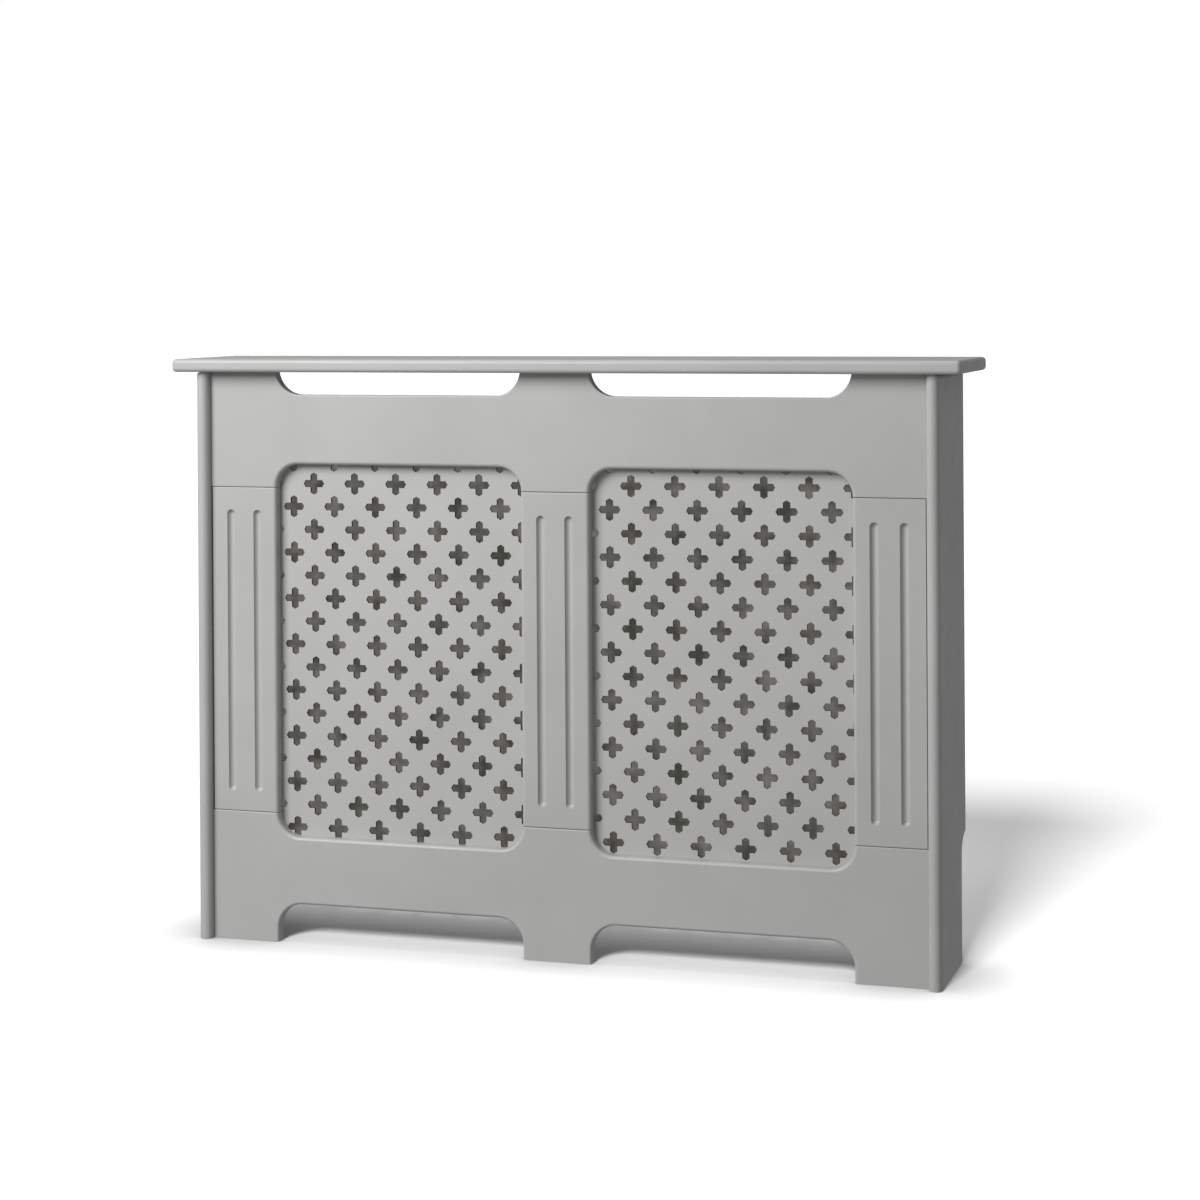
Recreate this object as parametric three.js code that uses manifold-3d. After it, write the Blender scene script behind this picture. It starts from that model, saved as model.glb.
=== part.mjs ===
// Radiator cover cabinet: a painted fibreboard case that stands against a wall over a radiator.
// Two side panels carry a shelf. Between them stands a front frame of two rails and three fluted
// stiles, with a perforated sheet behind each of its two windows. Back and base are open.
//
// Millimetres. +X runs along the front to the right, -Y is the front, +Y the wall, +Z is up.
// The origin is on the floor under the middle of the shelf.

import * as THREE from "three";
import { mergeVertices } from "three/addons/utils/BufferGeometryUtils.js";
import Module from "manifold-3d";

const wasm = await Module();
wasm.setup();

// ---------------------------------------------------------------- driving dimensions, mm

// Shelf
const shelfLength = 1116;
const shelfDepth = 200;
const shelfThickness = 18;
const shelfCornerRadius = 6;
const shelfNoseFlat = 7; // the flat left in the middle of its rounded edge
const shelfSideOverhang = 31;
const shelfFrontOverhang = 12;

// Case: everything below the shelf
const caseHeight = 797;
const sideThickness = 18;
const sideProud = 13; // how far a side panel's front edge stands in front of the frame
const sideTopRadius = 7; // along the outer top edge
const skirtingHeight = 172;
const skirtingDepth = 32;
const skirtingRadius = 31;

// Front frame
const frameThickness = 15;
const topRailHeight = 161.5;
const bottomRailHeight = 180.5;
const stileWidth = 97.5;
const stileGap = 1.5; // the open line between an outer stile and its side panel
const windowRadius = 32.5; // the windows' round ends take up the rails' shoulders
const windowRoundOver = 5;
const ventDepth = 32;
const ventRadius = 37; // its middle lies above the rail's edge
const ventRoundOver = 2;
const archHeight = 54.5;
const archRadius = 36;
const archRoundOver = 4;

// Flutes, cut with a round-nosed bit that stops short of the stile's ends
const fluteBitRadius = 6;
const fluteCutDepth = 5;
const fluteSpacing = 40;
const fluteTopInset = 32;
const fluteBottomInset = 28.5;

// Perforated sheets
const sheetThickness = 4;
const sheetLap = 33; // how far a sheet reaches behind the frame
const crossSpan = 30.5; // tip to tip
const crossArmWidth = 9.9;
const crossTipLength = 2.9;
const crossPitchX = 61.3;
const crossPitchZ = 64.1;
const patternTilt = 0.37; // degrees; the rows run slightly off square to the frame
const leftPhaseX = -5.4; // from the window's middle to one cross of the left sheet
const leftPhaseZ = -23.2;
const rightPhaseX = -1.2;
const rightPhaseZ = -19.4;

// Dowels between stiles and rails
const dowelRadius = 4;
const dowelLength = 30;
const dowelSpacing = 50;
const dowelSlack = 0.2; // around a dowel
const dowelEndSlack = 1; // beyond each of its ends

// Steel angle brackets inside the case
const bracketLeg = 25;
const bracketWidth = 16;
const bracketSteel = 2;
const bracketHoleRadius = 2.5;
const bracketHoleInset = 9; // from the end of the leg
const lowBracketHeight = 100; // on the bottom rail
const highBracketDrop = 67; // on the top rail, below the shelf
const sideBracketReach = 105; // on a side panel under the shelf, from the frame's back
const wallBracketDrop = 107; // on a side panel at the wall, below the shelf

// Clearance between pieces that touch
const jointGap = 0.2;

// Facets
const arcSteps = 5; // per quarter turn of an outline
const noseSteps = 4; // per quarter turn of a rounded board edge
const windowRimSteps = 2;
const plainRimSteps = 1;
const dowelSides = 6;
const bitSides = 8;
const screwHoleSides = 5;

// ---------------------------------------------------------------- derived places, mm

const innerFace = shelfLength / 2 - shelfSideOverhang - sideThickness;
const outerFace = innerFace + sideThickness;
const wallY = shelfDepth / 2;
const sideFrontY = -shelfDepth / 2 + shelfFrontOverhang;
const frameFrontY = sideFrontY + sideProud;
const frameBackY = frameFrontY + frameThickness;
const frameMiddleY = frameFrontY + frameThickness / 2;
const boardTop = caseHeight - jointGap;

const upperSeam = caseHeight - topRailHeight;
const lowerSeam = bottomRailHeight;
const windowTop = upperSeam + windowRadius;
const windowBottom = lowerSeam - windowRadius;
const windowHeight = windowTop - windowBottom;

const railEnd = innerFace - jointGap;
const outerStileEdge = innerFace - stileGap;
const openingInner = stileWidth / 2;
const openingOuter = outerStileEdge - stileWidth;
const openingWidth = openingOuter - openingInner;
const openingMiddle = (openingOuter + openingInner) / 2;
const overrun = 40; // how far a cutting outline runs past the board that it shapes

// ---------------------------------------------------------------- solids and outlines

// A three.js geometry as a solid that can be joined and cut.
function solid(geometry) {
  geometry.deleteAttribute("normal");
  geometry.deleteAttribute("uv");
  const merged = mergeVertices(geometry);
  return new wasm.Manifold(
    new wasm.Mesh({
      numProp: 3,
      vertProperties: merged.attributes.position.array,
      triVerts: new Uint32Array(merged.index.array),
    }),
  );
}

function geometryOf(body) {
  const { vertProperties, triVerts } = body.getMesh();
  const geometry = new THREE.BufferGeometry();
  geometry.setAttribute("position", new THREE.BufferAttribute(vertProperties, 3));
  geometry.setIndex(new THREE.BufferAttribute(triVerts, 1));
  return geometry;
}

// A box between two opposite corners.
function block([x0, y0, z0], [x1, y1, z1]) {
  const geometry = new THREE.BoxGeometry(x1 - x0, y1 - y0, z1 - z0);
  return solid(geometry.translate((x0 + x1) / 2, (y0 + y1) / 2, (z0 + z1) / 2));
}

// Points along a circular arc, both ends included, in degrees.
function arc(cx, cy, radius, from, to, steps = arcSteps) {
  return Array.from({ length: steps + 1 }, (_, i) => {
    const angle = THREE.MathUtils.degToRad(from + ((to - from) * i) / steps);
    return [cx + radius * Math.cos(angle), cy + radius * Math.sin(angle)];
  });
}

function outline(points) {
  return new THREE.Shape(points.map(([x, y]) => new THREE.Vector2(x, y)));
}

// An outline drawn in X and Z, carried back from the plane y = front.
function acrossFront(shape, front, depth) {
  const geometry = new THREE.ExtrudeGeometry(shape, { depth, bevelEnabled: false });
  return geometry.rotateX(Math.PI / 2).translate(0, front + depth, 0);
}

// A frame board from an outline in X and Z, its front rim rounded over. It runs on past the
// frame's back, where the caller trims it.
function frameBoard(points, roundOver, steps) {
  const geometry = new THREE.ExtrudeGeometry(outline(points), {
    depth: frameThickness,
    bevelThickness: roundOver,
    bevelSize: roundOver,
    bevelOffset: -roundOver,
    bevelSegments: steps,
  });
  geometry.rotateX(Math.PI / 2);
  return solid(geometry.translate(0, frameBackY + roundOver, 0));
}

// ---------------------------------------------------------------- shelf

// One board, the edges of its front and both ends rounded over, square along the wall.
function shelf() {
  const end = shelfLength / 2;
  const corner = end - shelfCornerRadius;
  const cornerY = -wallY + shelfCornerRadius;
  const plan = outline([
    [-end, wallY + overrun],
    ...arc(-corner, cornerY, shelfCornerRadius, 180, 270),
    ...arc(corner, cornerY, shelfCornerRadius, 270, 360),
    [end, wallY + overrun],
  ]);
  const nose = (shelfThickness - shelfNoseFlat) / 2;
  const geometry = new THREE.ExtrudeGeometry(plan, {
    depth: shelfNoseFlat,
    bevelThickness: nose,
    bevelSize: nose,
    bevelOffset: -nose,
    bevelSegments: noseSteps,
  });
  geometry.translate(0, 0, caseHeight + nose);
  const room = block([-end, -wallY, caseHeight], [end, wallY, caseHeight + shelfThickness]);
  return solid(geometry).intersect(room);
}

// ---------------------------------------------------------------- side panels

// A board on edge: its front edge is a half round, its outer top edge is eased, and its lower back
// corner is cut away to clear a skirting board.
function sidePanel(side) {
  const nose = sideThickness / 2;
  const plan = outline([
    [innerFace, wallY],
    ...arc(innerFace + nose, sideFrontY + nose, nose, 180, 360, 2 * noseSteps),
    [outerFace, wallY],
  ]);
  const board = solid(new THREE.ExtrudeGeometry(plan, { depth: boardTop, bevelEnabled: false }));

  const eased = outline([
    [innerFace - overrun, -overrun],
    [outerFace, -overrun],
    ...arc(outerFace - sideTopRadius, boardTop - sideTopRadius, sideTopRadius, 0, 90),
    [innerFace - overrun, boardTop],
  ]);
  const envelope = solid(acrossFront(eased, sideFrontY - overrun, shelfDepth + 2 * overrun));

  const panel = board.intersect(envelope).subtract(skirtingClearance());
  return side < 0 ? panel.mirror([1, 0, 0]) : panel;
}

// The skirting board's room, drawn in Y and Z and carried across the panel along X.
function skirtingClearance() {
  const face = wallY - skirtingDepth;
  const shape = outline([
    [wallY + overrun, -overrun],
    [face, -overrun],
    ...arc(face + skirtingRadius, skirtingHeight - skirtingRadius, skirtingRadius, 180, 90),
    [wallY + overrun, skirtingHeight],
  ]);
  const depth = sideThickness + 2 * overrun;
  const geometry = new THREE.ExtrudeGeometry(shape, { depth, bevelEnabled: false });
  // Turned so that the outline's x runs along Y, its y up, and the extrusion along X.
  geometry.rotateX(Math.PI / 2).rotateZ(Math.PI / 2);
  return solid(geometry.translate(innerFace - overrun, 0, 0));
}

// ---------------------------------------------------------------- rails

// A board across the whole front with two openings cut into one of its long edges, and their rims
// rounded over. Heights are measured from that edge into the board: the openings' legs run on past
// the edge, and so do the board's ends, which the rail's own block trims square.
function openingBoard(edge, direction, { depth, radius, roundOver, steps }) {
  const end = railEnd + overrun;
  const points = [[-end, -overrun]];
  for (const middle of [-openingMiddle, openingMiddle]) {
    const left = middle - openingWidth / 2;
    const right = middle + openingWidth / 2;
    points.push([left, -overrun]);
    points.push(...arc(left + radius, depth - radius, radius, 180, 90));
    points.push(...arc(right - radius, depth - radius, radius, 90, 0));
    points.push([right, -overrun]);
  }
  points.push([end, -overrun], [end, caseHeight], [-end, caseHeight]);
  return frameBoard(
    points.map(([x, height]) => [x, edge + direction * height]),
    roundOver,
    steps,
  );
}

function rail(low, high, lowerOpenings, upperOpenings) {
  const room = block([-railEnd, frameFrontY, low], [railEnd, frameBackY, high]);
  return openingBoard(low, 1, lowerOpenings)
    .intersect(openingBoard(high, -1, upperOpenings))
    .intersect(room)
    .subtract(dowelHoles());
}

const windowEnds = {
  depth: windowRadius,
  radius: windowRadius,
  roundOver: windowRoundOver,
  steps: windowRimSteps,
};
const vents = {
  depth: ventDepth - jointGap,
  radius: ventRadius,
  roundOver: ventRoundOver,
  steps: plainRimSteps,
};
const arches = {
  depth: archHeight,
  radius: archRadius,
  roundOver: archRoundOver,
  steps: plainRimSteps,
};

// ---------------------------------------------------------------- stiles

const outerStileMiddle = outerStileEdge - stileWidth / 2;
const stileMiddles = [-outerStileMiddle, 0, outerStileMiddle];

// A fluted board between the rails. The edges that border a window are rounded over.
function stile(middle) {
  const left = middle - stileWidth / 2;
  const right = middle + stileWidth / 2;
  const outerLeft = middle < 0 ? overrun : 0; // an outer edge is trimmed square
  const outerRight = middle > 0 ? overrun : 0;
  const low = lowerSeam + jointGap;
  const high = upperSeam - jointGap;
  const points = [
    [left - outerLeft, low - overrun],
    [right + outerRight, low - overrun],
    [right + outerRight, high + overrun],
    [left - outerLeft, high + overrun],
  ];
  let board = frameBoard(points, windowRoundOver, windowRimSteps);
  board = board.intersect(block([left, frameFrontY, low], [right, frameBackY, high]));
  for (const offset of [-fluteSpacing / 2, fluteSpacing / 2]) {
    board = board.subtract(flute(middle + offset));
  }
  return board.subtract(dowelHoles());
}

// The path of a round-nosed bit: a bar along Z with round ends, sunk into the stile's face.
function flute(x) {
  const middleY = frameFrontY + fluteCutDepth - fluteBitRadius;
  const halfWidth = Math.sqrt(fluteBitRadius ** 2 - (fluteBitRadius - fluteCutDepth) ** 2);
  const low = lowerSeam + fluteBottomInset + halfWidth;
  const high = upperSeam - fluteTopInset - halfWidth;
  const profile = [
    ...arc(0, low, fluteBitRadius, -90, 0, bitSides / 4),
    ...arc(0, high, fluteBitRadius, 0, 90, bitSides / 4),
  ];
  profile[0][0] = 0;
  profile[profile.length - 1][0] = 0;
  const points = profile.map(([r, z]) => new THREE.Vector2(r, z));
  const geometry = new THREE.LatheGeometry(points, bitSides);
  geometry.rotateY(Math.PI / bitSides).rotateX(Math.PI / 2);
  return solid(geometry.translate(x, middleY, 0));
}

// ---------------------------------------------------------------- dowels

// Every dowel's middle lies on a seam: two in each end of each stile.
function dowelPlaces() {
  const places = [];
  for (const [s, seam] of [lowerSeam, upperSeam].entries()) {
    for (const [m, middle] of stileMiddles.entries()) {
      for (const [k, offset] of [-dowelSpacing / 2, dowelSpacing / 2].entries()) {
        const name = `dowel_${["lower", "upper"][s]}_${["left", "centre", "right"][m]}_${k + 1}`;
        places.push({ name, x: middle + offset, z: seam });
      }
    }
  }
  return places;
}

// A round bar along Z around the origin.
function peg(radius, length) {
  return new THREE.CylinderGeometry(radius, radius, length, dowelSides).rotateX(Math.PI / 2);
}

function dowelHoles() {
  const holes = dowelPlaces().map(({ x, z }) => {
    const bore = peg(dowelRadius + dowelSlack, dowelLength + 2 * dowelEndSlack);
    return solid(bore.translate(x, frameMiddleY, z));
  });
  return wasm.Manifold.union(holes);
}

// ---------------------------------------------------------------- perforated sheets

// A cross with four pointed arms, as a hole around (cx, cz).
function crossHole(cx, cz) {
  const half = crossArmWidth / 2;
  const shoulder = crossSpan / 2 - crossTipLength;
  const arm = [
    [half, half],
    [half, shoulder],
    [0, crossSpan / 2],
    [-half, shoulder],
  ];
  const tilt = THREE.MathUtils.degToRad(patternTilt);
  const points = [0, 1, 2, 3].flatMap((quarter) =>
    arm.map(([x, z]) => {
      const point = new THREE.Vector2(x, z);
      return point.rotateAround(new THREE.Vector2(), tilt + (quarter * Math.PI) / 2);
    }),
  );
  return new THREE.Path(points.map((point) => point.add(new THREE.Vector2(cx, cz))));
}

// The middles of the crosses that open into one window: a staggered lattice, slightly turned.
function crossMiddles(windowX, windowZ, phaseX, phaseZ) {
  const tilt = THREE.MathUtils.degToRad(patternTilt);
  const columns = Math.ceil(openingWidth / crossPitchX) + 1;
  const rows = Math.ceil(windowHeight / crossPitchZ) + 1;
  const middles = [];
  for (let row = -rows; row <= rows; row += 1) {
    for (let column = -columns; column <= columns; column += 1) {
      if ((row + column) % 2 !== 0) continue;
      const step = new THREE.Vector2((column * crossPitchX) / 2, (row * crossPitchZ) / 2);
      step.rotateAround(new THREE.Vector2(), tilt).add(new THREE.Vector2(phaseX, phaseZ));
      const inside = Math.abs(step.x) < openingWidth / 2 && Math.abs(step.y) < windowHeight / 2;
      if (inside) middles.push([windowX + step.x, windowZ + step.y]);
    }
  }
  return middles;
}

function sheet(side, phaseX, phaseZ) {
  const middleX = side * openingMiddle;
  const middleZ = (windowTop + windowBottom) / 2;
  const halfWidth = openingWidth / 2 + sheetLap;
  const halfHeight = windowHeight / 2 + sheetLap;
  const shape = outline([
    [middleX - halfWidth, middleZ - halfHeight],
    [middleX + halfWidth, middleZ - halfHeight],
    [middleX + halfWidth, middleZ + halfHeight],
    [middleX - halfWidth, middleZ + halfHeight],
  ]);
  const middles = crossMiddles(middleX, middleZ, phaseX, phaseZ);
  shape.holes = middles.map(([x, z]) => crossHole(x, z));
  return solid(acrossFront(shape, frameBackY + jointGap, sheetThickness));
}

// ---------------------------------------------------------------- brackets

// An angle of two equal legs along +X and +Y from the origin, its width centred along Z, with a
// screw hole near the end of each leg.
function angleBracket() {
  const shape = outline([
    [0, 0],
    [bracketLeg, 0],
    [bracketLeg, bracketSteel],
    [bracketSteel, bracketSteel],
    [bracketSteel, bracketLeg],
    [0, bracketLeg],
  ]);
  const geometry = new THREE.ExtrudeGeometry(shape, { depth: bracketWidth, bevelEnabled: false });
  const angle = solid(geometry.translate(0, 0, -bracketWidth / 2));
  const reach = bracketLeg - bracketHoleInset;
  const drill = new THREE.CylinderGeometry(
    bracketHoleRadius,
    bracketHoleRadius,
    4 * bracketSteel,
    screwHoleSides,
  );
  const throughFirst = solid(drill.clone().translate(reach, 0, 0));
  const throughSecond = solid(drill.clone().rotateZ(Math.PI / 2).translate(0, reach, 0));
  return angle.subtract(throughFirst).subtract(throughSecond);
}

// Each bracket's corner, and the ways that its two legs run from there.
function bracketPlaces() {
  const faceX = innerFace - jointGap;
  const faceY = frameBackY + jointGap;
  const underShelf = caseHeight - jointGap;
  const down = [0, 0, -1];
  const back = [0, 1, 0];
  const places = [
    { name: "bracket_shelf_front_centre", corner: [0, faceY, underShelf], legs: [back, down] },
  ];
  for (const [word, side] of [["left", -1], ["right", 1]]) {
    const inward = [-side, 0, 0];
    const x = side * faceX;
    const add = (place, corner, legs) =>
      places.push({ name: `bracket_${place}_${word}`, corner, legs });
    add("frame_low", [x, faceY, lowBracketHeight], [inward, back]);
    add("frame_high", [x, faceY, caseHeight - highBracketDrop], [inward, back]);
    add("shelf_front", [side * outerStileMiddle, faceY, underShelf], [back, down]);
    add("shelf_side", [x, frameBackY + sideBracketReach, underShelf], [inward, down]);
    add("wall", [x, wallY, caseHeight - wallBracketDrop], [inward, [0, -1, 0]]);
  }
  return places;
}

// ---------------------------------------------------------------- assembly

const finishes = {
  paint: { color: 0xc9c7c3, roughness: 0.45, metalness: 0 },
  beech: { color: 0xcfae7c, roughness: 0.7, metalness: 0 },
  zinc: { color: 0xb8bcc0, roughness: 0.35, metalness: 1 },
};

const root = new THREE.Group();
root.name = "radiator_cover";

function piece(name, geometry, finish) {
  const mesh = new THREE.Mesh(geometry, new THREE.MeshStandardMaterial(finishes[finish]));
  mesh.name = name;
  root.add(mesh);
  return mesh;
}

piece("shelf_top", geometryOf(shelf()), "paint");
piece("side_panel_left", geometryOf(sidePanel(-1)), "paint");
piece("side_panel_right", geometryOf(sidePanel(1)), "paint");
piece("front_top_rail", geometryOf(rail(upperSeam, boardTop, windowEnds, vents)), "paint");
piece("front_bottom_rail", geometryOf(rail(0, lowerSeam, arches, windowEnds)), "paint");
for (const [i, word] of ["left", "centre", "right"].entries()) {
  piece(`front_stile_${word}`, geometryOf(stile(stileMiddles[i])), "paint");
}
piece("grille_left", geometryOf(sheet(-1, leftPhaseX, leftPhaseZ)), "paint");
piece("grille_right", geometryOf(sheet(1, rightPhaseX, rightPhaseZ)), "paint");

for (const { name, x, z } of dowelPlaces()) {
  const dowel = piece(name, peg(dowelRadius, dowelLength), "beech");
  dowel.position.set(x, frameMiddleY, z);
}

const angle = geometryOf(angleBracket());
for (const { name, corner, legs } of bracketPlaces()) {
  const bracket = piece(name, angle, "zinc");
  const [first, second] = legs.map((leg) => new THREE.Vector3(...leg));
  const turn = new THREE.Matrix4().makeBasis(first, second, first.clone().cross(second));
  bracket.setRotationFromMatrix(turn);
  bracket.position.set(...corner);
}

export default root;
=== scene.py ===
"""Looks of a painted radiator cover cabinet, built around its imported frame.

The frame's axes: +X to the right along the front, -Y the front, +Y the wall, +Z up. Meshes are
drawn in millimetres and turned into metres as they are finished.
"""

import math
import random

import bmesh
import bpy
from mathutils import Matrix, Vector


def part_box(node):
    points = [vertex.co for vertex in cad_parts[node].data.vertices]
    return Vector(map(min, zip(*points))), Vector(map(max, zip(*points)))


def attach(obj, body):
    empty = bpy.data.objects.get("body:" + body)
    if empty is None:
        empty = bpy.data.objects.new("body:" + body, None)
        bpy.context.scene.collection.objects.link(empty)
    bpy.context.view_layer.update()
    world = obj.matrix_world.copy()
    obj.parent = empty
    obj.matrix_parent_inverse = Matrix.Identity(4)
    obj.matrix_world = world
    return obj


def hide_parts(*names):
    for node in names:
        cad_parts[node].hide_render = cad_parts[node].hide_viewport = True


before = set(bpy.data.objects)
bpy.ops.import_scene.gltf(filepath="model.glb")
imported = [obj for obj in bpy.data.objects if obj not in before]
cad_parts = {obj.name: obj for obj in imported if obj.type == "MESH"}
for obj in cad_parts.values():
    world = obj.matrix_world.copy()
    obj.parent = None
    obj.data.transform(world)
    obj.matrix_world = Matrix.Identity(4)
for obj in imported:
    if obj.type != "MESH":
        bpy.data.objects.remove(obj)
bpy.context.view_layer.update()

MM = 0.001
BODY = "root"

# ------------------------------------------------------------------ sizes in mm that no box holds

SHELF_NOSE = 5.5
SHELF_CORNER_RADIUS = 6
SIDE_NOSE = 9
SIDE_TOP_RADIUS = 7
SKIRTING_DEPTH = 32
SKIRTING_HEIGHT = 172
SKIRTING_RADIUS = 31
WINDOW_RADIUS = 32.5
WINDOW_ROUND_OVER = 5
VENT_DEPTH = 31.8
VENT_RADIUS = 37  # its middle lies above the rail's edge
VENT_ROUND_OVER = 2
ARCH_HEIGHT = 54.5
ARCH_RADIUS = 36
ARCH_ROUND_OVER = 4
SEAM_EASE = 1.4  # the broken edges of a butt seam
SEAM_OPEN = 0.3  # a stile's ends and outer edge stand this far inside its box
PLAIN_EASE = 0.5  # every other edge, softened by its paint

FLUTE_BIT_RADIUS = 6
FLUTE_CUT_DEPTH = 5
FLUTE_LIP = 0.4
FLUTE_SPACING = 40
FLUTE_TOP_INSET = 31.8
FLUTE_BOTTOM_INSET = 28.3
LIP_STEPS = 4
BIT_STEPS = 8

CROSS_SPAN = 30.5
CROSS_ARM_WIDTH = 9.9
CROSS_TIP_LENGTH = 2.9
CROSS_CORNER = 0.5
CROSS_EASE = 0.35
CROSS_PITCH = (61.3, 64.1)
CROSS_REACH = 14  # the sheet's pattern runs on this far behind the window's edges
CROSS_PHASE = {"left": (-5.4, -23.2), "right": (-1.2, -19.4)}
PATTERN_TILT = math.radians(0.37)
RAW_SHADED_FACES = "raw_shaded_edge"  # marks the sawn walls of the holes, coloured as raw board darkened further into painted shade

STEEL = 2
BEND_RADIUS = 3.5
LEG = 25
LEG_CORNER = 3
HOLE_PLACE = 16  # from the bracket's corner
HOLE_RADIUS = 2.5
HOLE_STRAIGHT = 0.4  # the part of the hole below its countersink
SINK_RADIUS = 4.4
SCREW_HEAD = 4.3
SCREW_PROUD = 0.25
SCREW_RIM = ((0.5, 0), (0.1, 0.1), (0, 0.35))  # insets and drops of the head's softened edge
SCREW_SHANK = 1.9
SCREW_LENGTH = 12
SCREW_POINT = 3
RECESS_SPAN = 2.4
RECESS_WIDTH = 0.6
RECESS_DEPTH = 1.6
RECESS_TAPER = 0.55
RECESS_POINT = 0.3

STAPLE_CROWN = 11
STAPLE_WIRE = (1.3, 0.5)
STAPLE_EVERY = 92
STAPLE_MARGIN = 7
STAPLE_SHIFTS = (0, 8, -8, 16, -16, 24, -24)  # tried in turn until no hole is in the way
STAPLE_LEAN = 5  # degrees either way

SHADE_CARD_BEHIND = 14  # from the sheets' backs to the card of painted shade

ARC_STEPS = 16  # per quarter turn of an outline
ROUND_STEPS = 6  # per quarter turn of a rounded edge
SHARP_DEGREES = 35
MERGE_WITHIN = 0.004
LEVEL_WITHIN = 1e-4

# ------------------------------------------------------------------ outlines and boards

# Which of x, y and z an outline's u and v and the board's thickness w run along.
FRONT = (0, 2, 1)
SIDE = (1, 2, 0)
FLAT = (0, 1, 2)


def box(name):
    lo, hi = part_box(name)
    return lo / MM, hi / MM


def put(axes, u, v, w):
    point = [0, 0, 0]
    point[axes[0]], point[axes[1]], point[axes[2]] = u, v, w
    return point


def arc(cu, cv, radius, start, end, steps=ARC_STEPS):
    """Points along a circular arc, both ends included, in degrees."""
    points = []
    for i in range(steps + 1):
        angle = math.radians(start + (end - start) * i / steps)
        points.append((cu + radius * math.cos(angle), cv + radius * math.sin(angle)))
    return points


def run(points, front, back=PLAIN_EASE):
    """Outline points whose edges, each up to the next point, are rounded over by these radii."""
    return [(u, v, front, back) for u, v in points]


def between(a, b, t):
    return (a[0] + (b[0] - a[0]) * t, a[1] + (b[1] - a[1]) * t, a[2], a[3])


def with_transitions(outline):
    """Adds a point beside each corner where a wide round-over meets a narrow one."""
    result = []
    count = len(outline)
    for i in range(count):
        before, here, after = outline[i - 1], outline[i], outline[(i + 1) % count]
        own = max(here[2:])
        length = math.dist(here[:2], after[:2])
        result.append(here)
        wide_before, wide_after = max(before[2:]), max(after[2:])
        if wide_before > own + 1 and length > 2 * wide_before:
            result.append(between(here, after, wide_before / length))
        if wide_after > own + 1 and length > 2 * wide_after:
            result.append(between(here, after, 1 - wide_after / length))
    return result


def inward(a, b):
    """The unit normal of the edge from a to b, into a counter-clockwise outline."""
    du, dv = b[0] - a[0], b[1] - a[1]
    length = math.hypot(du, dv)
    return -dv / length, du / length


def insets(outline, key):
    """For each point: how far a full round-over draws it in along u and v, and how deep it goes."""
    result = []
    count = len(outline)
    for i in range(count):
        before, here, after = outline[i - 1], outline[i], outline[(i + 1) % count]
        r_in, r_out = before[key], here[key]
        n_in, n_out = inward(before, here), inward(here, after)
        turn = n_in[0] * n_out[1] - n_in[1] * n_out[0]
        wide = max(r_in, r_out)
        if abs(turn) < 1e-4:
            result.append((n_out[0] * wide, n_out[1] * wide, wide))
            continue
        du = (r_in * n_out[1] - r_out * n_in[1]) / turn
        dv = (r_out * n_in[0] - r_in * n_out[0]) / turn
        result.append((du, dv, wide))
    return result


def rings(outline, back, front):
    """The board's cross loops from its back face to its front face, as (u, v, w) points."""
    toward_back = math.copysign(1, back - front)
    loops = []
    for key, face, sign in ((3, back, -toward_back), (2, front, toward_back)):
        drawn = insets(outline, key)
        side = []
        for k in range(ROUND_STEPS + 1):
            angle = math.radians(90 * k / ROUND_STEPS)
            inset, sunk = 1 - math.cos(angle), 1 - math.sin(angle)
            side.append([
                (u + du * inset, v + dv * inset, face + sign * depth * sunk)
                for (u, v, *_), (du, dv, depth) in zip(outline, drawn)
            ])
        loops += side[::-1] if key == 3 else side
    return loops


def add_loop(bm, points):
    return [bm.verts.new(p) for p in points]


def bridge(bm, first, second, closed=True):
    count = len(first)
    for i in range(count if closed else count - 1):
        j = (i + 1) % count
        bm.faces.new((first[i], first[j], second[j], second[i]))


def skin(bm, loops, closed=True):
    """Faces between one loop of points and the next."""
    made = [add_loop(bm, loop) for loop in loops]
    for first, second in zip(made, made[1:]):
        bridge(bm, first, second, closed)
    return made


def merge(bm):
    bmesh.ops.remove_doubles(bm, verts=bm.verts, dist=MERGE_WITHIN)


def fill_level(bm, axis, level):
    """Fills the open edges that lie at one height along an axis, round any holes in them."""
    merge(bm)
    edges = [
        e for e in bm.edges
        if len(e.link_faces) < 2 and all(abs(v.co[axis] - level) < LEVEL_WITHIN for v in e.verts)
    ]
    bmesh.ops.triangle_fill(bm, use_beauty=True, edges=edges)


def finish_mesh(name, bm, material):
    """Turns bmesh data into a smooth-shaded piece whose sharper edges stay crisp."""
    merge(bm)
    bmesh.ops.recalc_face_normals(bm, faces=bm.faces)
    bmesh.ops.scale(bm, vec=(MM, MM, MM), verts=bm.verts)
    for face in bm.faces:
        face.smooth = True
    for edge in bm.edges:
        if edge.is_manifold and edge.calc_face_angle(0) > math.radians(SHARP_DEGREES):
            edge.smooth = False
    mesh = bpy.data.meshes.new(name)
    bm.to_mesh(mesh)
    bm.free()
    piece = bpy.data.objects.new(name, mesh)
    bpy.context.scene.collection.objects.link(piece)
    mesh.materials.append(material)
    weighted = piece.modifiers.new("even_shading", "WEIGHTED_NORMAL")
    weighted.keep_sharp = True
    weighted.weight = 100
    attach(piece, BODY)
    return piece


def board(name, outline, back, front, axes, material, flutes=()):
    """A board from a counter-clockwise outline between two faces. Flutes open into its front."""
    bm = bmesh.new()
    body = rings(with_transitions(outline), back, front)
    for loops in [body, *flutes]:
        skin(bm, [[put(axes, *p) for p in loop] for loop in loops])
    fill_level(bm, axes[2], back)
    fill_level(bm, axes[2], front)
    piece = finish_mesh(name + "_fine", bm, material)
    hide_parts(name)
    return piece


# ------------------------------------------------------------------ pieces of the case


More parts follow.
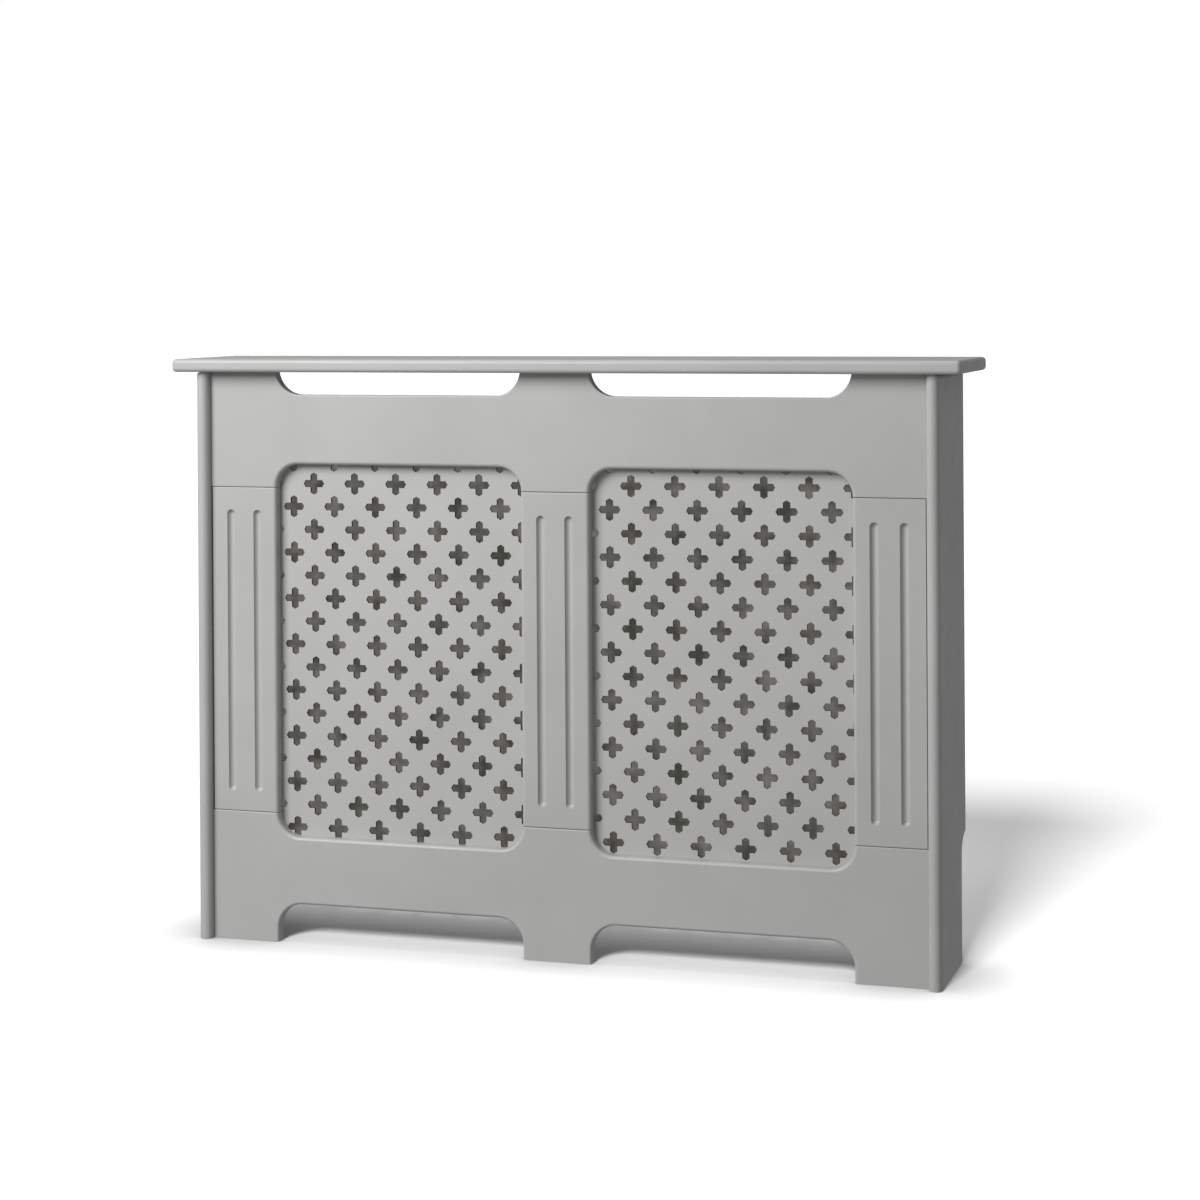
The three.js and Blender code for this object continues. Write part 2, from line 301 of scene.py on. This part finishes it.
def make_shelf(material):
    lo, hi = box("shelf_top")
    r = SHELF_CORNER_RADIUS
    rounded = [(lo.x, hi.y)]
    rounded += arc(lo.x + r, lo.y + r, r, 180, 270)
    rounded += arc(hi.x - r, lo.y + r, r, 270, 360)
    outline = run(rounded, SHELF_NOSE, SHELF_NOSE) + run([(hi.x, hi.y)], PLAIN_EASE)
    return board("shelf_top", outline, lo.z, hi.z, FLAT, material)


def make_side_panel(word, material):
    name = "side_panel_" + word
    lo, hi = box(name)
    outer, inner = (lo.x, hi.x) if word == "left" else (hi.x, lo.x)
    face = hi.y - SKIRTING_DEPTH
    r = SKIRTING_RADIUS
    cut = [(lo.y, lo.z), (face, lo.z)]
    cut += arc(face + r, SKIRTING_HEIGHT - r, r, 180, 90)
    cut += [(hi.y, SKIRTING_HEIGHT)]
    outline = run(cut, PLAIN_EASE)
    outline += run([(hi.y, hi.z)], SIDE_TOP_RADIUS)
    outline += run([(lo.y, hi.z)], SIDE_NOSE, SIDE_NOSE)
    return board(name, outline, inner, outer, SIDE, material)


def openings():
    """The left and right edges of the two openings that windows, vents and arches share."""
    left, centre, right = [box("front_stile_" + word) for word in ("left", "centre", "right")]
    return [(left[1].x, centre[0].x), (centre[1].x, right[0].x)]


def notched_edge(edge, up, lo_x, hi_x, depth, radius, round_over, ease):
    """One long edge of a rail with both openings cut into it, from left to right."""
    outline = run([(lo_x, edge)], ease)
    # Where an arc's middle lies beyond the edge, the arc starts where it crosses the edge.
    crossing = math.degrees(math.asin(max(radius - depth, 0) / radius))
    for left, right in openings():
        centre = edge + up * (depth - radius)
        first = arc(left + radius, centre, radius, 180 - up * crossing, 180 - up * 90)
        second = arc(right - radius, centre, radius, up * 90, up * crossing)
        cut = first + second
        if depth > radius + PLAIN_EASE:
            cut = [(left, edge)] + cut + [(right, edge)]
        outline += run(cut[:-1], round_over) + run([cut[-1]], ease)
    return outline + run([(hi_x, edge)], ease)


def make_rail(name, below, above, material):
    lo, hi = box(name)
    low_edge = notched_edge(lo.z, 1, lo.x, hi.x, *below)
    high_edge = notched_edge(hi.z, -1, lo.x, hi.x, *above)
    # The upper edge runs back from right to left, so each radius belongs to the edge before.
    backward = high_edge[::-1]
    radii = [point[2:] for point in backward[1:]] + [(PLAIN_EASE, PLAIN_EASE)]
    high_edge = [(u, v, *r) for (u, v, *_), r in zip(backward, radii)]
    return board(name, low_edge + high_edge, hi.y, lo.y, FRONT, material)


def stadium(x, low, high, radius, y, steps=ARC_STEPS):
    """A loop with round ends at one depth of a flute."""
    ends = arc(x, high, radius, 0, 180, steps) + arc(x, low, radius, 180, 360, steps)
    return [(u, v, y) for u, v in ends]


def flute_rings(x, low, high, face):
    """From the softened lip on the face down to the middle line of the round bottom."""
    bit, lip = FLUTE_BIT_RADIUS, FLUTE_LIP
    lift = bit - FLUTE_CUT_DEPTH  # of the bit's centre in front of the face
    lip_x = math.sqrt((bit + lip) ** 2 - (lift + lip) ** 2)
    meet = math.atan2(lift + lip, lip_x)
    profile = []
    for k in range(LIP_STEPS):
        angle = math.pi / 2 + (math.pi / 2 - meet) * k / LIP_STEPS
        profile.append((lip_x + lip * math.cos(angle), lip - lip * math.sin(angle)))
    for k in range(BIT_STEPS + 1):
        angle = meet + (math.pi / 2 - meet) * k / BIT_STEPS
        profile.append((bit * math.cos(angle), bit * math.sin(angle) - lift))
    half = math.sqrt(bit ** 2 - lift ** 2)
    return [stadium(x, low + half, high - half, max(r, 0), face + depth) for r, depth in profile]


def make_stile(word, material):
    name = "front_stile_" + word
    lo, hi = box(name)
    left_round = PLAIN_EASE if word == "left" else WINDOW_ROUND_OVER
    right_round = PLAIN_EASE if word == "right" else WINDOW_ROUND_OVER
    left = lo.x + (SEAM_OPEN if word == "left" else 0)
    right = hi.x - (SEAM_OPEN if word == "right" else 0)
    bottom, top = lo.z + SEAM_OPEN, hi.z - SEAM_OPEN
    outline = run([(left, bottom)], SEAM_EASE) + run([(right, bottom)], right_round)
    outline += run([(right, top)], SEAM_EASE) + run([(left, top)], left_round)
    middle = (lo.x + hi.x) / 2
    low, high = lo.z + FLUTE_BOTTOM_INSET, hi.z - FLUTE_TOP_INSET
    flutes = [
        flute_rings(middle + offset, low, high, lo.y)
        for offset in (-FLUTE_SPACING / 2, FLUTE_SPACING / 2)
    ]
    return board(name, outline, hi.y, lo.y, FRONT, material, flutes)


# ------------------------------------------------------------------ perforated sheets


def cross_outline(cx, cz):
    """A cross with four pointed arms, its corners softened."""
    half = CROSS_ARM_WIDTH / 2
    shoulder = CROSS_SPAN / 2 - CROSS_TIP_LENGTH
    arm = [(half, half), (half, shoulder), (0, CROSS_SPAN / 2), (-half, shoulder)]
    corners = []
    for quarter in range(4):
        turn = Matrix.Rotation(quarter * math.pi / 2 + PATTERN_TILT, 2)
        corners += [turn @ Vector(p) for p in arm]
    points = []
    for i, corner in enumerate(corners):
        before = (corners[i - 1] - corner).normalized() * CROSS_CORNER
        after = (corners[(i + 1) % len(corners)] - corner).normalized() * CROSS_CORNER
        points += [corner + before, corner + (before + after) / 4, corner + after]
    return [(cx + p.x, cz + p.y, CROSS_EASE, CROSS_EASE) for p in points]


def cross_middles(word, opening):
    """A staggered lattice of crosses, slightly turned, over one window and its surround."""
    left, right = opening
    bottom = box("front_bottom_rail")[1].z - WINDOW_RADIUS
    top = box("front_top_rail")[0].z + WINDOW_RADIUS
    middle = Vector(((left + right) / 2, (bottom + top) / 2))
    half = Vector(((right - left) / 2, (top - bottom) / 2))
    turn = Matrix.Rotation(PATTERN_TILT, 2)
    columns = math.ceil(2 * half.x / CROSS_PITCH[0]) + 2
    rows = math.ceil(2 * half.y / CROSS_PITCH[1]) + 2
    middles = []
    for row in range(-rows, rows + 1):
        for column in range(-columns, columns + 1):
            if (row + column) % 2:
                continue
            step = Vector((column * CROSS_PITCH[0], row * CROSS_PITCH[1])) / 2
            step = turn @ step + Vector(CROSS_PHASE[word])
            if abs(step.x) < half.x + CROSS_REACH and abs(step.y) < half.y + CROSS_REACH:
                middles.append(middle + step)
    return middles


def make_sheet(word, middles, material):
    """A sheet with cross-shaped holes, whose walls between the eased edges are marked as raw board
    with painted shade.
    """
    name = "grille_" + word
    lo, hi = box(name)
    near, far = lo.y + CROSS_EASE, hi.y - CROSS_EASE
    bm = bmesh.new()
    raw_shaded = bm.faces.layers.float.new(RAW_SHADED_FACES)
    for place in middles:
        outline = cross_outline(*place)
        wide = [(u - du, v - dv) for (u, v, *_), (du, dv, _) in zip(outline, insets(outline, 2))]
        narrow = [(u, v) for u, v, *_ in outline]
        levels = [(wide, lo.y), (narrow, near), (narrow, far), (wide, hi.y)]
        skin(bm, [[(u, y, v) for u, v in shape] for shape, y in levels])
    slack = 0.01
    for face in bm.faces:
        face[raw_shaded] = float(near < face.calc_center_median().y < far and all(
            near - slack < v.co.y < far + slack for v in face.verts
        ))
    corners = [(lo.x, lo.z), (hi.x, lo.z), (hi.x, hi.z), (lo.x, hi.z)]
    skin(bm, [[(u, y, v) for u, v in corners] for y in (lo.y, hi.y)])
    fill_level(bm, 1, lo.y)
    fill_level(bm, 1, hi.y)
    piece = finish_mesh(name + "_fine", bm, material)
    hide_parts(name)
    return piece


def staple_places(word, middles):
    """Along a sheet's four edges, moved along where a cross is in the way."""
    lo, hi = box("grille_" + word)
    low = Vector((lo.x + STAPLE_MARGIN, lo.z + STAPLE_MARGIN))
    high = Vector((hi.x - STAPLE_MARGIN, hi.z - STAPLE_MARGIN))
    clear_of = CROSS_SPAN / 2 + STAPLE_CROWN / 2 - 1
    places = []
    for axis in (0, 1):
        length = high[axis] - low[axis]
        count = round(length / STAPLE_EVERY)
        for edge in (low, high):
            for i in range(count):
                for shift in STAPLE_SHIFTS:
                    spot = edge.copy()
                    spot[axis] = low[axis] + length * (i + 0.5) / count + shift
                    if all((spot - m).length > clear_of for m in middles):
                        places.append((spot, axis))
                        break
    return places


def make_staples(word, middles, material, rng):
    back = box("grille_" + word)[1].y
    width, height = STAPLE_WIRE
    bm = bmesh.new()
    for spot, axis in staple_places(word, middles):
        lean = math.radians(90 * axis + rng.uniform(-STAPLE_LEAN, STAPLE_LEAN))
        made = bmesh.ops.create_cube(bm, size=1)["verts"]
        bmesh.ops.scale(bm, vec=(STAPLE_CROWN, height, width), verts=made)
        edges = {e for v in made for e in v.link_edges}
        result = bmesh.ops.bevel(
            bm, geom=list(edges), offset=height * 0.35, segments=2, profile=0.5, affect="EDGES"
        )
        verts = {v for f in result["faces"] for v in f.verts}
        at = Matrix.Translation((spot.x, back + height / 2, spot.y)) @ Matrix.Rotation(lean, 4, "Y")
        bmesh.ops.transform(bm, matrix=at, verts=list(verts))
    return finish_mesh("staples_" + word, bm, material)


# ------------------------------------------------------------------ brackets and screws

DIRECTIONS = {"back": (0, 1, 0), "front": (0, -1, 0), "down": (0, 0, -1)}
LEGS = {
    "frame": ("in", "back"),
    "shelf_front": ("back", "down"),
    "shelf_side": ("in", "down"),
    "wall": ("in", "front"),
}


def bracket_frame(name):
    """The turn that lays a bracket's legs along its two boards, its corner and its width."""
    kind = next(k for k in LEGS if name.startswith("bracket_" + k))
    inner = (1, 0, 0) if name.endswith("left") else (-1, 0, 0)
    a, b = [Vector(DIRECTIONS.get(word, inner)) for word in LEGS[kind]]
    lo, hi = box(name)
    both = a + b
    corner = Vector([
        lo[i] if both[i] > 0 else hi[i] if both[i] < 0 else (lo[i] + hi[i]) / 2 for i in range(3)
    ])
    across = a.cross(b)
    axis = max(range(3), key=lambda i: abs(across[i]))
    return Matrix((a, b, across)).transposed().to_4x4(), corner, hi[axis] - lo[axis]


def circle(cu, cv, radius, steps=24):
    return arc(cu, cv, radius, 0, 360, steps)[:-1]


def add_leg(bm, half, swap):
    """One flat leg with rounded corners and a countersunk hole, open towards the bend."""
    def at(along, up, across):
        return (up, along, across) if swap else (along, up, across)

    r = LEG_CORNER
    edge = [(BEND_RADIUS, -half)] + arc(LEG - r, -half + r, r, 270, 360, 5)
    edge += arc(LEG - r, half - r, r, 0, 90, 5) + [(BEND_RADIUS, half)]
    skin(bm, [[at(u, level, v) for u, v in edge] for level in (0, STEEL)], closed=False)
    hole = [(HOLE_RADIUS, 0), (HOLE_RADIUS, HOLE_STRAIGHT), (SINK_RADIUS, STEEL)]
    skin(bm, [
        [at(u, level, v) for u, v in circle(HOLE_PLACE, 0, radius)] for radius, level in hole
    ])
    for level in (0, STEEL):
        ends = []
        for side in (-half, half):
            place = Vector(at(BEND_RADIUS, level, side))
            ends.append(next(v for v in bm.verts if (v.co - place).length < 1e-5))
        bm.edges.new(ends)
        fill_level(bm, 0 if swap else 1, level)


def add_bend(bm, half):
    """The quarter turn between the legs."""
    turn = arc(BEND_RADIUS, BEND_RADIUS, 1, 270, 180, 6)
    sections = []
    for u, v in turn:
        out = Vector((u - BEND_RADIUS, v - BEND_RADIUS))
        outer = Vector((BEND_RADIUS, BEND_RADIUS)) + out * BEND_RADIUS
        inner = Vector((BEND_RADIUS, BEND_RADIUS)) + out * (BEND_RADIUS - STEEL)
        sections.append([(*outer, -half), (*outer, half), (*inner, half), (*inner, -half)])
    skin(bm, sections)


def make_bracket(name, material):
    turn, corner, width = bracket_frame(name)
    bm = bmesh.new()
    add_leg(bm, width / 2, False)
    add_leg(bm, width / 2, True)
    add_bend(bm, width / 2)
    bmesh.ops.transform(bm, matrix=Matrix.Translation(corner) @ turn, verts=bm.verts)
    piece = finish_mesh(name + "_fine", bm, material)
    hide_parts(name)
    return piece


def cross_recess(scale, level):
    w, s = RECESS_WIDTH * scale, RECESS_SPAN * scale
    quarter = [(s, -w), (s, w), (w, w)]
    points = []
    for k in range(4):
        turn = Matrix.Rotation(k * math.pi / 2, 2)
        points += [(*(turn @ Vector(p)), level) for p in quarter]
    return points


def add_screw(bm, placed):
    """A countersunk screw along its local z, its head's top just above zero."""
    top = SCREW_PROUD
    profile = [(SCREW_HEAD - inset, top - drop) for inset, drop in SCREW_RIM]
    profile += [
        (SCREW_SHANK, -STEEL), (SCREW_SHANK, SCREW_POINT - SCREW_LENGTH), (0, -SCREW_LENGTH)
    ]
    before = set(bm.verts)
    skin(bm, [[(u, v, level) for u, v in circle(0, 0, radius)] for radius, level in profile])
    floor_level = top - RECESS_DEPTH
    skin(bm, [
        cross_recess(1, top),
        cross_recess(RECESS_TAPER, floor_level),
        cross_recess(0, floor_level - RECESS_POINT),
    ])
    fill_level(bm, 2, top)
    made = [v for v in bm.verts if v not in before]
    bmesh.ops.transform(bm, matrix=placed, verts=made)


def make_screws(name, material, rng):
    """Screws through both of a bracket's holes, or through one where the other leg is left free
    for the wall."""
    turn, corner, _ = bracket_frame(name)
    bm = bmesh.new()
    spots = [((0, HOLE_PLACE), (1, 0))]
    if not name.startswith("bracket_wall"):
        spots.append(((HOLE_PLACE, 0), (0, 1)))
    for place, up in spots:
        surface = Vector((*place, 0)) + Vector((*up, 0)) * STEEL
        look = Vector((*up, 0)).to_track_quat("Z", "Y").to_matrix().to_4x4()
        twist = Matrix.Rotation(rng.uniform(0, math.pi / 2), 4, "Z")
        placed = Matrix.Translation(corner) @ turn @ Matrix.Translation(surface) @ look @ twist
        single = bmesh.new()
        add_screw(single, placed)
        scratch = bpy.data.meshes.new("scratch")
        single.to_mesh(scratch)
        single.free()
        bm.from_mesh(scratch)
        bpy.data.meshes.remove(scratch)
    return finish_mesh(name.replace("bracket", "screws"), bm, material)


# ------------------------------------------------------------------ materials


class Nodes:
    """A material's node tree, with short ways to add and join nodes."""

    def __init__(self, name):
        self.material = bpy.data.materials.new(name)
        self.material.use_nodes = True
        self.tree = self.material.node_tree
        self.shader = self.tree.nodes["Principled BSDF"]

    def add(self, kind, **values):
        node = self.tree.nodes.new(kind)
        for key, value in values.items():
            node.inputs[key.capitalize()].default_value = value
        return node

    def join(self, out_node, out_name, in_node, in_name):
        self.tree.links.new(out_node.outputs[out_name], in_node.inputs[in_name])

    def noise(self, scale, detail=2.0):
        coordinates = self.add("ShaderNodeTexCoord")
        noise = self.add("ShaderNodeTexNoise", scale=scale, detail=detail)
        self.join(coordinates, "Object", noise, "Vector")
        return noise

    def ramp(self, source, stops, output="Fac"):
        ramp = self.add("ShaderNodeValToRGB")
        for element, (position, colour) in zip(ramp.color_ramp.elements, stops):
            element.position, element.color = position, (*colour, 1)
        self.join(source, output, ramp, "Fac")
        return ramp

    def bump(self, source, height):
        bump = self.add("ShaderNodeBump", distance=height)
        self.join(source, "Fac", bump, "Height")
        self.join(bump, "Normal", self.shader, "Normal")


def paint_material(name, light, dark, grain_height, raw_shaded_walls=False):
    """Satin paint on fibreboard: soft clouding, a fine sprayed grain and an uneven sheen. Faces
    that a mesh marks as raw show the brown board instead, darker than bare board as painted shade."""
    nodes = Nodes(name)
    colour = nodes.ramp(nodes.noise(7.0, 4.0), [(0.35, dark), (0.65, light)])
    if raw_shaded_walls:
        painted = colour
        # Raw brown board, made darker than bare board: painted shade inside the holes' walls.
        raw_shaded_fibres = nodes.ramp(
            nodes.noise(600.0, 3.0), [(0.3, (0.035, 0.027, 0.022)), (0.7, (0.075, 0.060, 0.050))]
        )
        mark = nodes.add("ShaderNodeAttribute")
        mark.attribute_name = RAW_SHADED_FACES
        colour = nodes.add("ShaderNodeMixRGB")
        nodes.join(mark, "Fac", colour, "Fac")
        nodes.join(painted, "Color", colour, "Color1")
        nodes.join(raw_shaded_fibres, "Color", colour, "Color2")
    nodes.join(colour, "Color", nodes.shader, "Base Color")
    sheen = nodes.ramp(nodes.noise(23.0, 3.0), [(0.3, (0.36,) * 3), (0.7, (0.46,) * 3)])
    nodes.join(sheen, "Color", nodes.shader, "Roughness")
    nodes.bump(nodes.noise(900.0), grain_height)
    nodes.shader.inputs["Specular IOR Level"].default_value = 0.4
    return nodes.material


def beech_material():
    nodes = Nodes("dowel_beech")
    grain = nodes.noise(400.0, 6.0)
    colour = nodes.ramp(grain, [(0.3, (0.50, 0.33, 0.18)), (0.7, (0.66, 0.48, 0.29))])
    nodes.join(colour, "Color", nodes.shader, "Base Color")
    nodes.shader.inputs["Roughness"].default_value = 0.7
    nodes.bump(grain, 0.05 * MM)
    return nodes.material


def zinc_material():
    nodes = Nodes("zinc")
    spangle = nodes.noise(260.0, 3.0)
    colour = nodes.ramp(spangle, [(0.35, (0.52, 0.54, 0.56)), (0.65, (0.68, 0.69, 0.70))])
    nodes.join(colour, "Color", nodes.shader, "Base Color")
    rough = nodes.ramp(spangle, [(0.3, (0.28,) * 3), (0.7, (0.42,) * 3)])
    nodes.join(rough, "Color", nodes.shader, "Roughness")
    nodes.shader.inputs["Metallic"].default_value = 1.0
    nodes.bump(spangle, 0.02 * MM)
    return nodes.material


# ------------------------------------------------------------------ stage, light and camera

FRAME_PIXELS = 1200
CAMERA_PLACE = Vector((1.117, -3.381, 0.9045))
CAMERA_YAW = 0.2933
CAMERA_PITCH = 0.0039
CAMERA_ROLL = -0.0060
FOCAL_PIXELS = 2583
PRINCIPAL_POINT = (637.1, 302.7)
SENSOR = 36.0
FLOOR_REACH = 60.0
PAINTED_SHADE_REACH = 0.12  # how near the case paints shade into the floor's colour, in metres


def make_camera():
    data = bpy.data.cameras.new("camera")
    data.sensor_width = SENSOR
    data.lens = FOCAL_PIXELS / FRAME_PIXELS * SENSOR
    data.shift_x = (FRAME_PIXELS / 2 - PRINCIPAL_POINT[0]) / FRAME_PIXELS
    data.shift_y = (PRINCIPAL_POINT[1] - FRAME_PIXELS / 2) / FRAME_PIXELS
    camera = bpy.data.objects.new("camera", data)
    forward = Vector((
        -math.sin(CAMERA_YAW) * math.cos(CAMERA_PITCH),
        math.cos(CAMERA_YAW) * math.cos(CAMERA_PITCH),
        -math.sin(CAMERA_PITCH),
    ))
    level = Vector((math.cos(CAMERA_YAW), math.sin(CAMERA_YAW), 0))
    upright = level.cross(forward)
    right = level * math.cos(CAMERA_ROLL) + upright * math.sin(CAMERA_ROLL)
    up = upright * math.cos(CAMERA_ROLL) - level * math.sin(CAMERA_ROLL)
    turn = Matrix((right, up, -forward)).transposed().to_4x4()
    camera.matrix_world = Matrix.Translation(CAMERA_PLACE) @ turn
    bpy.context.scene.collection.objects.link(camera)
    bpy.context.scene.camera = camera


def stage_sheet(name, corners):
    mesh = bpy.data.meshes.new(name)
    mesh.from_pydata(corners, [], [(0, 1, 2, 3)])
    sheet = bpy.data.objects.new(name, mesh)
    bpy.context.scene.collection.objects.link(sheet)
    return sheet


def make_floor():
    """A pale floor with painted shade: its colour darkens by ambient occlusion where the case
    stands close. It stays out of the bounced light, which the world stands for."""
    r = FLOOR_REACH
    floor = stage_sheet("floor", [(-r, -r, 0), (r, -r, 0), (r, r, 0), (-r, r, 0)])
    nodes = Nodes("floor")
    # Painted contact shade: occlusion by the case darkens the floor's colour.
    contact_shade = nodes.add("ShaderNodeAmbientOcclusion", distance=PAINTED_SHADE_REACH)
    contact_shade.samples = 16
    painted_shade_tone = nodes.ramp(contact_shade, [(0.3, (0.40,) * 3), (0.95, (0.82,) * 3)], "AO")
    nodes.join(painted_shade_tone, "Color", nodes.shader, "Base Color")
    nodes.shader.inputs["Roughness"].default_value = 0.9
    nodes.shader.inputs["Specular IOR Level"].default_value = 0.0
    floor.data.materials.append(nodes.material)
    floor.visible_diffuse = False
    floor.visible_glossy = False
    return floor


def make_painted_shade_card():
    """A card behind the sheets that glows a dark mottled colour: painted shade for the unlit inside
    that the photograph shows through them. It shows from the front only, so the open back stays
    open to view."""
    lo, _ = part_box("grille_left")
    _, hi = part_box("grille_right")
    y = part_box("grille_left")[1].y + SHADE_CARD_BEHIND * MM
    corners = [(lo.x, y, lo.z), (hi.x, y, lo.z), (hi.x, y, hi.z), (lo.x, y, hi.z)]
    card = stage_sheet("painted_shade_card", corners)
    nodes = Nodes("painted_shade_card")
    shade_patches = nodes.noise(38.0, 5.0)
    # Painted shade: a dark, patchy colour that the card glows with, though it is no lamp.
    painted_shade_tone = nodes.ramp(shade_patches, [(0.35, (0.055, 0.055, 0.045)), (0.68, (0.16, 0.15, 0.135))])
    shade_glow = nodes.add("ShaderNodeEmission")
    nodes.join(painted_shade_tone, "Color", shade_glow, "Color")
    clear = nodes.add("ShaderNodeBsdfTransparent")
    sides = nodes.add("ShaderNodeNewGeometry")
    mix = nodes.add("ShaderNodeMixShader")
    nodes.join(sides, "Backfacing", mix, 0)
    nodes.join(shade_glow, 0, mix, 1)
    nodes.join(clear, 0, mix, 2)
    nodes.join(mix, 0, nodes.tree.nodes["Material Output"], "Surface")
    card.data.materials.append(nodes.material)


def light_only(light, name, lit=None, unlit=None):
    """Lets a light reach one object only, or all objects but one."""
    reach = bpy.data.collections.new(name)
    reach.objects.link(lit or unlit)
    light.light_linking.receiver_collection = reach
    if unlit:
        reach.collection_objects[0].light_linking.link_state = "EXCLUDE"


def make_sun(name, direction, strength, softness):
    """A distant light that shines along a direction, with an angular size in degrees."""
    data = bpy.data.lights.new(name, "SUN")
    data.energy = strength
    data.angle = math.radians(softness)
    light = bpy.data.objects.new(name, data)
    light.rotation_euler = Vector(direction).to_track_quat("-Z", "Y").to_euler()
    bpy.context.scene.collection.objects.link(light)
    return light


def make_softbox(name, target, direction, distance, size, power):
    data = bpy.data.lights.new(name, "AREA")
    data.shape = "SQUARE"
    data.size = size
    data.energy = power
    light = bpy.data.objects.new(name, data)
    direction = Vector(direction).normalized()
    light.location = Vector(target) - direction * distance
    light.rotation_euler = direction.to_track_quat("-Z", "Y").to_euler()
    light.visible_camera = False
    bpy.context.scene.collection.objects.link(light)
    return light


def make_world(strength):
    """White to look at, and an even dim light on everything else."""
    world = bpy.data.worlds.new("studio")
    bpy.context.scene.world = world
    world.use_nodes = True
    tree = world.node_tree
    ambient = tree.nodes["Background"]
    ambient.inputs["Color"].default_value = (1, 1, 1, 1)
    ambient.inputs["Strength"].default_value = strength
    white = tree.nodes.new("ShaderNodeBackground")
    white.inputs["Color"].default_value = (1, 1, 1, 1)
    path = tree.nodes.new("ShaderNodeLightPath")
    mix = tree.nodes.new("ShaderNodeMixShader")
    tree.links.new(path.outputs["Is Camera Ray"], mix.inputs[0])
    tree.links.new(ambient.outputs[0], mix.inputs[1])
    tree.links.new(white.outputs[0], mix.inputs[2])
    tree.links.new(mix.outputs[0], tree.nodes["World Output"].inputs["Surface"])


# ------------------------------------------------------------------ the scene

SEED = 7
WORLD_STRENGTH = 0.27

rng = random.Random(SEED)
make_camera()
bpy.context.scene.view_settings.view_transform = "Standard"

paint = paint_material(
    "paint",
    light=(0.455, 0.452, 0.446),
    dark=(0.430, 0.427, 0.421),
    grain_height=0.012 * MM,
)
sheet_paint = paint_material(
    "sheet_paint",
    light=(0.475, 0.472, 0.466),
    dark=(0.450, 0.447, 0.441),
    grain_height=0.010 * MM,
    raw_shaded_walls=True,
)
beech = beech_material()
zinc = zinc_material()

make_shelf(paint)
for word in ("left", "right"):
    make_side_panel(word, paint)
make_rail(
    "front_top_rail",
    (WINDOW_RADIUS, WINDOW_RADIUS, WINDOW_ROUND_OVER, SEAM_EASE),
    (VENT_DEPTH, VENT_RADIUS, VENT_ROUND_OVER, PLAIN_EASE),
    paint,
)
make_rail(
    "front_bottom_rail",
    (ARCH_HEIGHT, ARCH_RADIUS, ARCH_ROUND_OVER, PLAIN_EASE),
    (WINDOW_RADIUS, WINDOW_RADIUS, WINDOW_ROUND_OVER, SEAM_EASE),
    paint,
)
for word in ("left", "centre", "right"):
    make_stile(word, paint)
for word, opening in zip(("left", "right"), openings()):
    middles = cross_middles(word, opening)
    make_sheet(word, middles, sheet_paint)
    make_staples(word, middles, zinc, rng)

for name, node in sorted(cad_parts.items()):
    if name.startswith("dowel_"):
        node.data.materials.clear()
        node.data.materials.append(beech)
    elif name.startswith("bracket_"):
        make_bracket(name, zinc)
        make_screws(name, zinc, rng)

floor = make_floor()
# A card of painted shade behind the sheets.
make_painted_shade_card()
key = make_softbox(
    "key",
    target=(-0.1, -0.07, 0.5),
    direction=(0.4446, 0.7115, -0.545),
    distance=3.1,
    size=1.7,
    power=108,
)
light_only(key, "key_reach", unlit=floor)
top_light = make_softbox(
    "top_light",
    target=(0, 0, 0.815),
    direction=(0, -0.35, -0.94),
    distance=2.0,
    size=1.6,
    power=7,
)
light_only(top_light, "top_light_reach", unlit=floor)
front_sun = make_sun("floor_front", direction=(0.05, 0.813, -0.58), strength=4.1, softness=14)
light_only(front_sun, "floor_front_reach", lit=floor)
overhead_sun = make_sun("floor_overhead", direction=(0, 0, -1), strength=1.0, softness=14)
light_only(overhead_sun, "floor_overhead_reach", lit=floor)
make_world(WORLD_STRENGTH)
